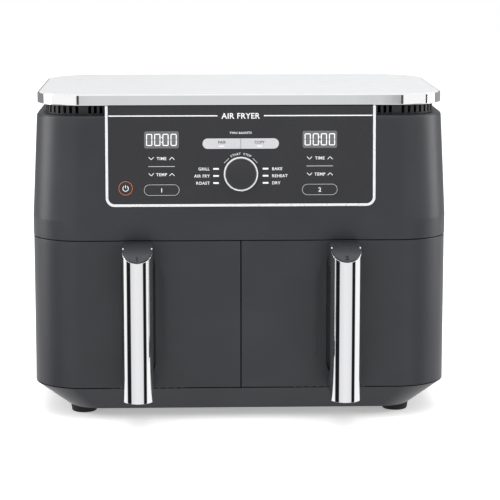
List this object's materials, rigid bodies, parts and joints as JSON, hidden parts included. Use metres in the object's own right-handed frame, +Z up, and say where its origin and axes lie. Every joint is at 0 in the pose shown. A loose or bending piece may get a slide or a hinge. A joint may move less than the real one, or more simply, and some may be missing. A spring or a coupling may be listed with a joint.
{
  "type": "air fryer",
  "caption": "Countertop air fryer with side-by-side pull-out drawers, upright chrome handles, leaning control panel with dial and keys, and a louvred neck under a pale lid.",
  "frame": {"origin": "centre of the bounding box at the worktop, under the feet", "axes": "+Z up; the drawers and the control panel face -Y; +X to the right seen from the front"},
  "size_m": [0.416, 0.32, 0.3262],
  "materials": {
    "housing": "satin fine-textured dark grey polypropylene",
    "dark_trim": "fine-textured black glass-filled nylon",
    "rubber": "matt moulded silicone rubber",
    "lid": "pale silver-white lacquered top plate",
    "chrome": "bright chrome plate",
    "silver": "satin silver paint",
    "panel": "smooth dark grey overlay with pale print",
    "window": "smoked clear window",
    "display": "grey display body with white segments",
    "board": "green solder mask",
    "component": "moulded black component bodies",
    "sheet_steel": "plain rolled steel",
    "heater": "heat-tinted sheathed element",
    "motor": "laminated steel stack in cast housing",
    "nonstick": "charcoal non-stick coating"
  },
  "bodies": {
    "housing": {"upper_housing": "housing", "lower_housing": "housing", "base_tray": "housing", "front_frame": "housing", "bay_divider": "housing", "chamber_deck": "housing", "vent_neck": "dark_trim", "rear_grille": "dark_trim", "feet": "rubber", "rear_spacers": "rubber", "cord_gland": "rubber", "top_cover": "lid", "top_trim": "chrome", "control_bezel": "silver", "control_panel": "panel", "display_windows": "window", "display_modules": "display", "control_board": "board", "power_board": "board", "dial_encoder": "component", "drawer_switches": "component", "drawer_guides": "component", "chamber_left": "sheet_steel", "chamber_right": "sheet_steel", "heater_guards": "sheet_steel", "temperature_probes": "sheet_steel", "case_screws": "sheet_steel", "heater_left": "heater", "heater_right": "heater", "motors": "motor"},
    "drawer_left": {"drawer_front_left": "housing", "drawer_liner_left": "dark_trim", "basket_left": "nonstick", "handle_core_left": "dark_trim", "handle_cover_left": "chrome", "handle_screws_left": "sheet_steel"},
    "crisper_left": {"crisper_plate_left": "nonstick", "crisper_bumpers_left": "rubber"},
    "fan_left": {"convection_fan_left": "sheet_steel", "fan_shaft_left": "sheet_steel", "cooling_fan_left": "dark_trim"},
    "drawer_right": {"drawer_front_right": "housing", "drawer_liner_right": "dark_trim", "basket_right": "nonstick", "handle_core_right": "dark_trim", "handle_cover_right": "chrome", "handle_screws_right": "sheet_steel"},
    "crisper_right": {"crisper_plate_right": "nonstick", "crisper_bumpers_right": "rubber"},
    "fan_right": {"convection_fan_right": "sheet_steel", "fan_shaft_right": "sheet_steel", "cooling_fan_right": "dark_trim"},
    "dial_push": {"encoder_plunger": "sheet_steel"},
    "dial": {"dial_knob": "panel", "dial_ring": "silver"},
    "power_key": {"power_key": "panel"},
    "zone_1_key": {"zone_1_key": "panel"},
    "zone_2_key": {"zone_2_key": "panel"},
    "sync_key": {"sync_key": "silver"},
    "match_key": {"match_key": "silver"}
  },
  "joints": [
    {"name": "drawer_left_slide", "type": "slide", "parent": "housing", "child": "drawer_left", "axis": [0, -1, 0], "range_m": [0, 0.26]},
    {"name": "crisper_left_lift", "type": "slide", "parent": "drawer_left", "child": "crisper_left", "axis": [0, 0, 1], "range_m": [0, 0.118]},
    {"name": "fan_left_spin", "type": "hinge", "parent": "housing", "child": "fan_left", "pos_m": [-0.09795, 0.0035, 0.2183], "axis": [0, 0, 1], "continuous": true},
    {"name": "drawer_right_slide", "type": "slide", "parent": "housing", "child": "drawer_right", "axis": [0, -1, 0], "range_m": [0, 0.26]},
    {"name": "crisper_right_lift", "type": "slide", "parent": "drawer_right", "child": "crisper_right", "axis": [0, 0, 1], "range_m": [0, 0.118]},
    {"name": "fan_right_spin", "type": "hinge", "parent": "housing", "child": "fan_right", "pos_m": [0.09795, 0.0035, 0.2183], "axis": [0, 0, 1], "continuous": true},
    {"name": "dial_press", "type": "slide", "parent": "housing", "child": "dial_push", "axis": [0, 0.9981, -0.0624], "range_m": [0, 0.0006], "stiffness_N_per_m": 2500},
    {"name": "dial_turn", "type": "hinge", "parent": "dial_push", "child": "dial", "pos_m": [0, -0.10709, 0.24831], "axis": [0, -0.9981, 0.0624], "continuous": true},
    {"name": "power_key_press", "type": "slide", "parent": "housing", "child": "power_key", "axis": [0, 0.9981, -0.0624], "range_m": [0, 0.0008], "stiffness_N_per_m": 1500},
    {"name": "zone_1_key_press", "type": "slide", "parent": "housing", "child": "zone_1_key", "axis": [0, 0.9981, -0.0624], "range_m": [0, 0.0008], "stiffness_N_per_m": 1500},
    {"name": "zone_2_key_press", "type": "slide", "parent": "housing", "child": "zone_2_key", "axis": [0, 0.9981, -0.0624], "range_m": [0, 0.0008], "stiffness_N_per_m": 1500},
    {"name": "sync_key_press", "type": "slide", "parent": "housing", "child": "sync_key", "axis": [0, 0.9981, -0.0624], "range_m": [0, 0.0008], "stiffness_N_per_m": 1500},
    {"name": "match_key_press", "type": "slide", "parent": "housing", "child": "match_key", "axis": [0, 0.9981, -0.0624], "range_m": [0, 0.0008], "stiffness_N_per_m": 1500}
  ]
}
